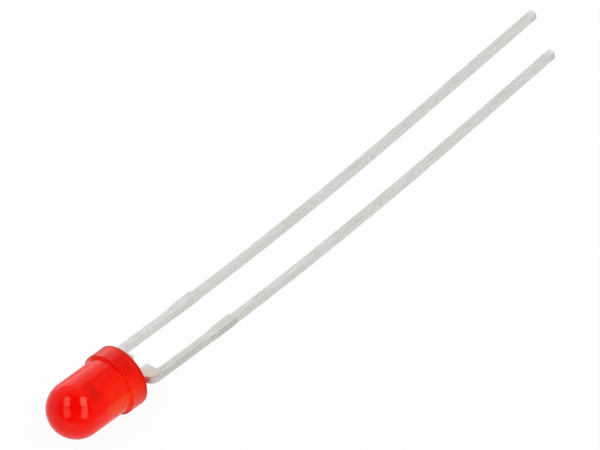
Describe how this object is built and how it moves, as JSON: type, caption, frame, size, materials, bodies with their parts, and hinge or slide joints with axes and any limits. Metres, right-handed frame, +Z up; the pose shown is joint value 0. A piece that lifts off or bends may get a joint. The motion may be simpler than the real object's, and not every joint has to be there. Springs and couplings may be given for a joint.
{
  "type": "through hole led",
  "caption": "Round red diffused through hole LED with a domed lens, a flange and long stamped leads, lying on its flange and its lightly bent leads.",
  "frame": {"origin": "on the table, under the middle of the LED as it lies", "axes": "+X from the dome to the lead tips, +Y towards the anode lead, +Z up"},
  "size_m": [0.0352, 0.0032, 0.0034],
  "materials": {
    "lens": "glossy red diffused epoxy",
    "leads": "satin tin plating with fine lengthwise drawing marks",
    "die": "sawn semiconductor",
    "adhesive": "matt silver-filled epoxy",
    "wire": "drawn gold"
  },
  "bodies": {
    "root": {"lens": "lens", "cathode_lead": "leads", "anode_lead": "leads", "led_die": "die", "die_attach": "adhesive", "bond_wire": "wire"}
  },
  "joints": []
}
